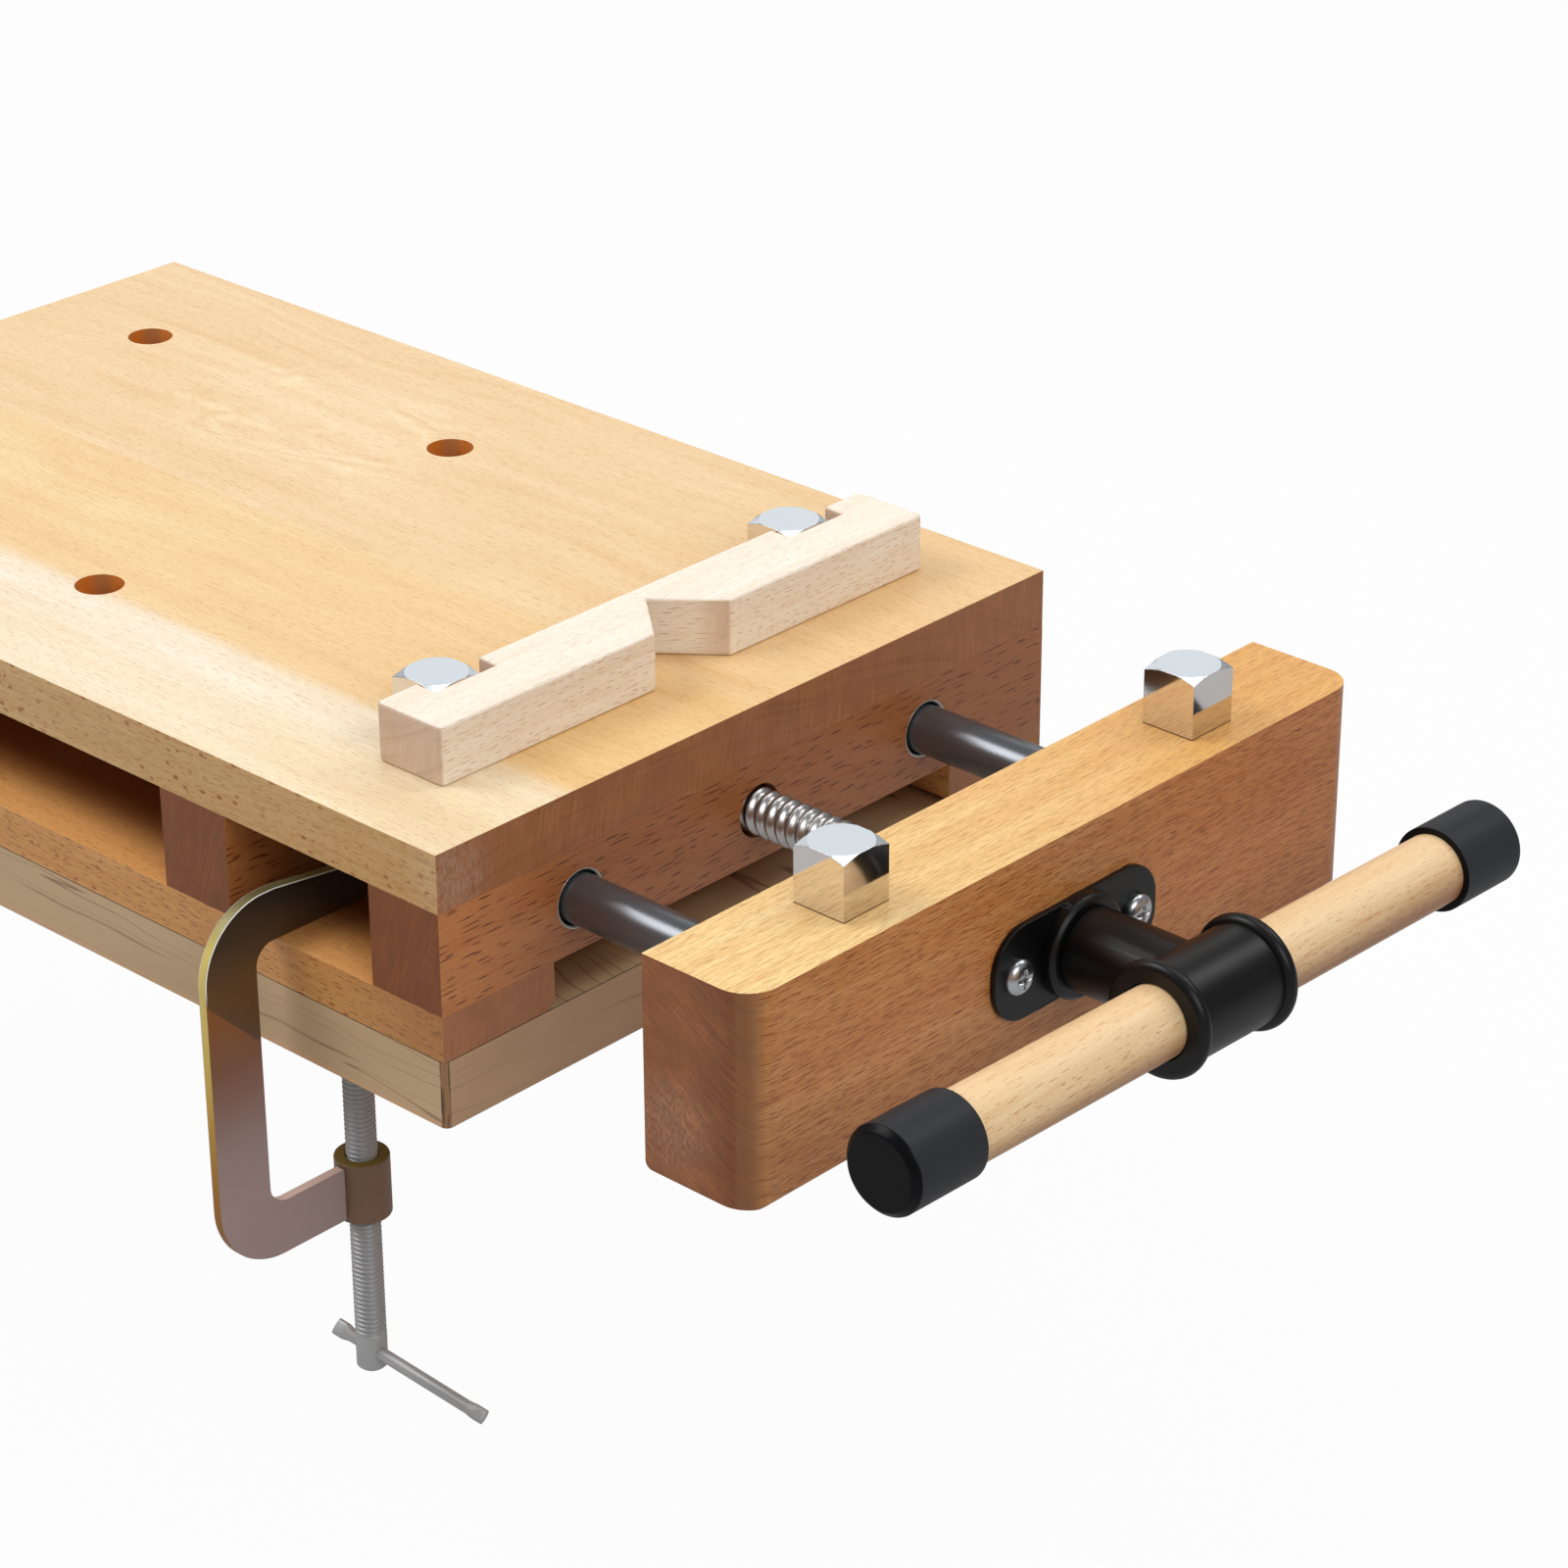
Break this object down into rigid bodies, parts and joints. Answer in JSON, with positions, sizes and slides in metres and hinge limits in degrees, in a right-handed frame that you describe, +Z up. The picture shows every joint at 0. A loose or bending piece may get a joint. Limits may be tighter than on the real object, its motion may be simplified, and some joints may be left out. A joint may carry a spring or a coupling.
{
  "type": "woodworking bench with vise",
  "caption": "Low beech bench on a base board, with a sliding end vise on guide rods, dog holes, square-headed dogs, a stop batten and a screw clamp.",
  "frame": {"origin": "centre of the base board's underside, the face that the bench rests on", "axes": "+X along the bench towards the vise, +Y from its front to its back, +Z up"},
  "size_m": [0.7358, 0.3608, 0.285],
  "materials": {
    "top_wood": "oiled beech, satin",
    "beam_wood": "oiled beech, satin",
    "rail_wood": "oiled beech, satin",
    "base_wood": "plain maple, satin",
    "jaw_wood": "oiled beech, satin",
    "batten_wood": "raw beech, matte",
    "dowel_wood": "turned beech, satin",
    "rod_steel": "dark ground steel",
    "screw_steel": "bright cut thread",
    "bush_steel": "turned",
    "nut_iron": "dark enamelled casting",
    "black_enamel": "satin black",
    "bronze_enamel": "glossy dark bronze",
    "bright_zinc": "bright zinc plate",
    "yellow_zinc": "yellow zinc plate",
    "dog_chrome": "plated, lightly brushed",
    "washer_brass": "turned",
    "black_plastic": "fine matte"
  },
  "bodies": {
    "bench": {"top_board": "top_wood", "end_beam_vise": "beam_wood", "inner_beam_vise": "beam_wood", "inner_beam_far": "beam_wood", "end_beam_far": "beam_wood", "bottom_rail_front": "rail_wood", "bottom_rail_back": "rail_wood", "base_board": "base_wood", "top_screws": "yellow_zinc", "rail_screws": "yellow_zinc", "bush_front_end": "bush_steel", "bush_back_end": "bush_steel", "bush_front_inner": "bush_steel", "bush_back_inner": "bush_steel", "screw_nut": "nut_iron", "nut_screws": "bright_zinc", "clamp_frame": "bronze_enamel", "clamp_collar": "bronze_enamel"},
    "jaw": {"jaw_board": "jaw_wood", "guide_rod_front": "rod_steel", "guide_rod_back": "rod_steel", "rod_lock_screws": "bright_zinc", "rod_stop_washers": "bright_zinc", "rod_stop_screws": "bright_zinc", "front_plate": "black_enamel", "plate_screws": "bright_zinc", "thrust_washer": "washer_brass"},
    "screw": {"vise_screw": "screw_steel", "thrust_collar": "screw_steel", "collar_pin": "rod_steel", "screw_hub": "black_enamel", "hub_pin": "black_enamel"},
    "handle": {"handle_dowel": "dowel_wood", "handle_cap_near": "black_plastic", "handle_cap_far": "black_plastic"},
    "jaw_dog_front": {"jaw_dog_front": "dog_chrome"},
    "jaw_dog_back": {"jaw_dog_back": "dog_chrome"},
    "bench_dog_front": {"bench_dog_front": "dog_chrome"},
    "bench_dog_back": {"bench_dog_back": "dog_chrome"},
    "batten": {"stop_batten": "batten_wood"},
    "pad": {"clamp_pad": "bright_zinc"},
    "spindle": {"clamp_screw": "bright_zinc"},
    "tee": {"clamp_bar": "bright_zinc"}
  },
  "joints": [
    {"name": "jaw_slide", "type": "slide", "parent": "bench", "child": "jaw", "axis": [1, 0, 0], "range_m": [-0.099, 0.051]},
    {"name": "vise_turn", "type": "hinge", "parent": "jaw", "child": "screw", "pos_m": [0.3, 0, 0.065], "axis": [1, 0, 0], "range_deg": [-7129, 3673]},
    {"name": "handle_slide", "type": "slide", "parent": "screw", "child": "handle", "axis": [0, 0.9997, -0.0262], "range_m": [-0.1052, 0.1032]},
    {"name": "jaw_dog_front_lift", "type": "slide", "parent": "jaw", "child": "jaw_dog_front", "axis": [0, 0, 1], "range_m": [0, 0.028]},
    {"name": "jaw_dog_back_lift", "type": "slide", "parent": "jaw", "child": "jaw_dog_back", "axis": [0, 0, 1], "range_m": [0, 0.028]},
    {"name": "bench_dog_front_lift", "type": "slide", "parent": "bench", "child": "bench_dog_front", "axis": [0, 0, 1], "range_m": [0, 0.028]},
    {"name": "bench_dog_back_lift", "type": "slide", "parent": "bench", "child": "bench_dog_back", "axis": [0, 0, 1], "range_m": [0, 0.028]},
    {"name": "batten_lift", "type": "slide", "parent": "bench", "child": "batten", "axis": [0, 0, 1], "range_m": [0, 0.05]},
    {"name": "pad_slide", "type": "slide", "parent": "bench", "child": "pad", "axis": [0, 0, 1], "range_m": [-0.045, 0]},
    {"name": "spindle_turn", "type": "hinge", "parent": "pad", "child": "spindle", "pos_m": [0.168, -0.124, -0.08], "axis": [0, 0, 1], "range_deg": [-8100.5, 0]},
    {"name": "tee_slide", "type": "slide", "parent": "spindle", "child": "tee", "axis": [0.9986, -0.0523, 0], "range_m": [-0.0527, 0.0087]}
  ],
  "couplings": [
    {"joint": "vise_turn", "follows": "jaw_slide", "rad_per_m": 1256.6},
    {"joint": "spindle_turn", "follows": "pad_slide", "rad_per_m": 3141.6}
  ]
}
